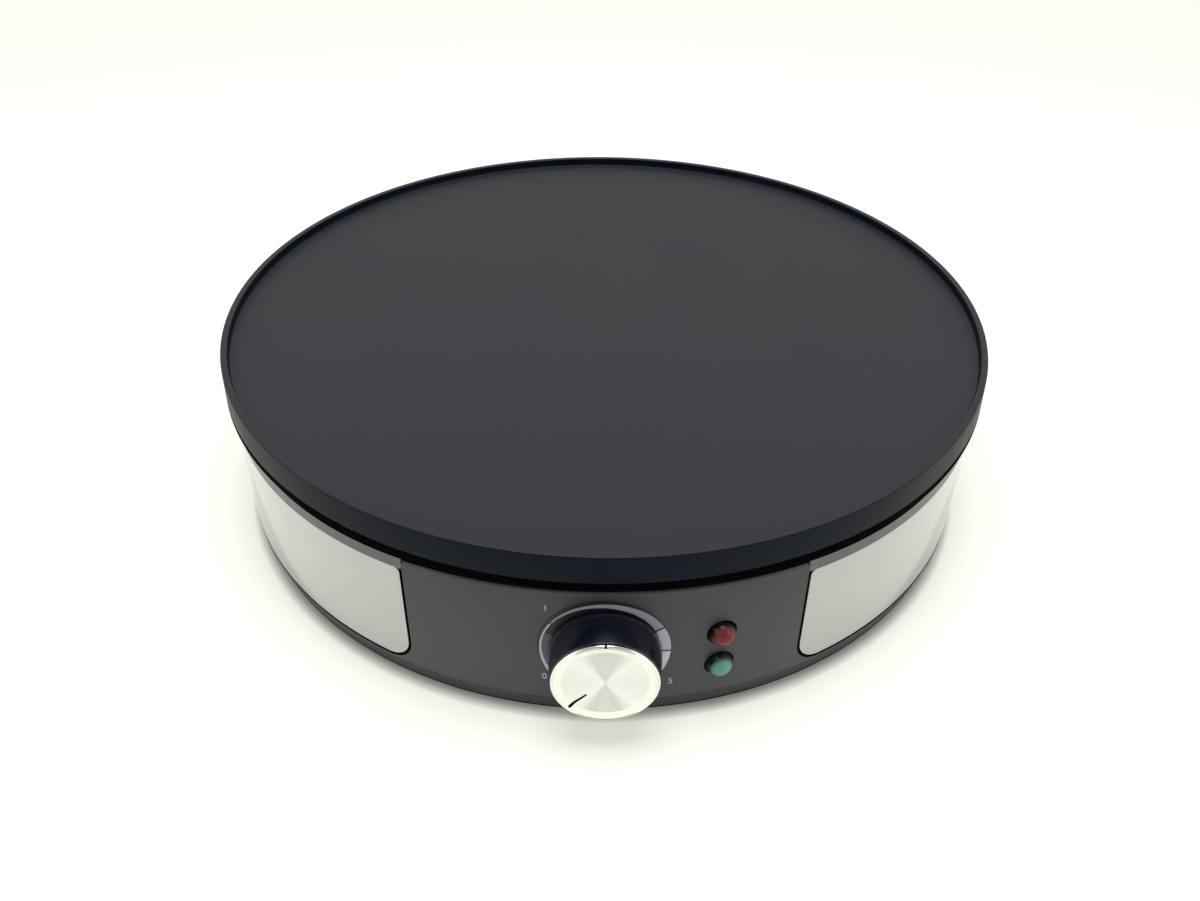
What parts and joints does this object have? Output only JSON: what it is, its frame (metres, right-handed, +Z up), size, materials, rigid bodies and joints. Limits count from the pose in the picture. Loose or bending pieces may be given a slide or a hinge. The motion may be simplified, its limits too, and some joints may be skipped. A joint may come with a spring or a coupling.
{
  "type": "electric crepe maker",
  "caption": "round countertop hotplate for crepes on a low drum body, with a thermostat knob, two pilot lamps, stainless side panels and rubber feet",
  "frame": {"origin": "on the plane the feet stand on, under the axis of the cooking plate", "axes": "+Z up along the plate's axis, -Y towards the control knob at the front, +X to the right seen from the front, +Y towards the cord inlet at the rear"},
  "size_m": [0.301, 0.3229, 0.075],
  "materials": {
    "plate_coating": "matt charcoal non-stick coating on cast aluminium",
    "moulded_body": "dark gunmetal moulded plastic, fine satin grain",
    "stainless_panel": "light satin stainless steel, brushed round the drum",
    "spun_aluminium": "fine circular spun aluminium",
    "knob_black": "glossy black",
    "black_plastic": "black nylon",
    "dial_ink": "light blue-grey print",
    "red_lens": "polished red translucent plastic",
    "green_lens": "polished green translucent plastic",
    "lamp_glass": "clear neon lamp glass",
    "foot_rubber": "matt black rubber",
    "zinc_plated": "zinc plated sheet steel",
    "bright_aluminium": "rolled aluminium sheet",
    "screw_steel": "nickel plated steel",
    "heater_sheath": "oxidised stainless tube",
    "ceramic_white": "unglazed steatite",
    "brass_parts": "plain brass",
    "brown_bakelite": "moulded phenolic",
    "brown_insulation": "silicone wire insulation",
    "white_sleeving": "woven glass sleeving",
    "blue_insulation": "silicone wire insulation",
    "earth_insulation": "green and yellow wire insulation",
    "red_insulation": "silicone wire insulation"
  },
  "bodies": {
    "base": {"hotplate": "plate_coating", "heating_element": "heater_sheath", "element_bushings": "ceramic_white", "element_tabs": "brass_parts", "element_clamps": "zinc_plated", "clamp_screws": "screw_steel", "heat_reflector": "bright_aluminium", "plate_spacers": "zinc_plated", "plate_screws": "screw_steel", "housing": "moulded_body", "left_side_panel": "stainless_panel", "right_side_panel": "stainless_panel", "panel_nuts": "zinc_plated", "base_pan": "zinc_plated", "base_screws": "screw_steel", "foot_front_left": "foot_rubber", "foot_front_right": "foot_rubber", "foot_rear_left": "foot_rubber", "foot_rear_right": "foot_rubber", "foot_screws": "screw_steel", "foot_nuts": "zinc_plated", "cord_gland": "black_plastic", "gland_nut": "black_plastic", "terminal_block": "ceramic_white", "terminal_screws": "brass_parts", "earth_tag": "brass_parts", "earth_screw": "screw_steel", "thermostat_bushing": "brass_parts", "thermostat_body": "brown_bakelite", "thermostat_screws": "screw_steel", "thermostat_leaf": "brass_parts", "thermostat_contacts": "zinc_plated", "thermostat_cover": "zinc_plated", "thermostat_tabs": "brass_parts", "diaphragm_capsule": "zinc_plated", "capillary_tube": "brass_parts", "sensor_bulb": "brass_parts", "bulb_clip": "zinc_plated", "thermal_fuse": "ceramic_white", "fuse_clip": "zinc_plated", "clip_screws": "screw_steel", "dial_scale": "dial_ink", "red_lamp_lens": "red_lens", "green_lamp_lens": "green_lens", "lamp_bulbs": "lamp_glass", "lamp_push_nuts": "zinc_plated", "live_wire": "brown_insulation", "switched_wire": "white_sleeving", "fused_wire": "white_sleeving", "neutral_wire": "blue_insulation", "earth_wire": "earth_insulation", "lamp_wires": "red_insulation"},
    "dial": {"knob_barrel": "knob_black", "knob_cap": "spun_aluminium", "knob_pointer": "knob_black", "knob_clip": "zinc_plated", "control_spindle": "brass_parts"},
    "adjuster": {"adjusting_pin": "screw_steel"}
  },
  "joints": [
    {"name": "dial_turn", "type": "hinge", "parent": "base", "child": "dial", "pos_m": [0, -0.1485, 0.0327], "axis": [0, 1, 0], "range_deg": [0, 270]},
    {"name": "pin_slide", "type": "slide", "parent": "base", "child": "adjuster", "axis": [0, 1, 0], "range_m": [-0.00115, 0]}
  ],
  "couplings": [
    {"joint": "pin_slide", "follows": "dial_turn", "m_per_rad": -0.00023873}
  ]
}
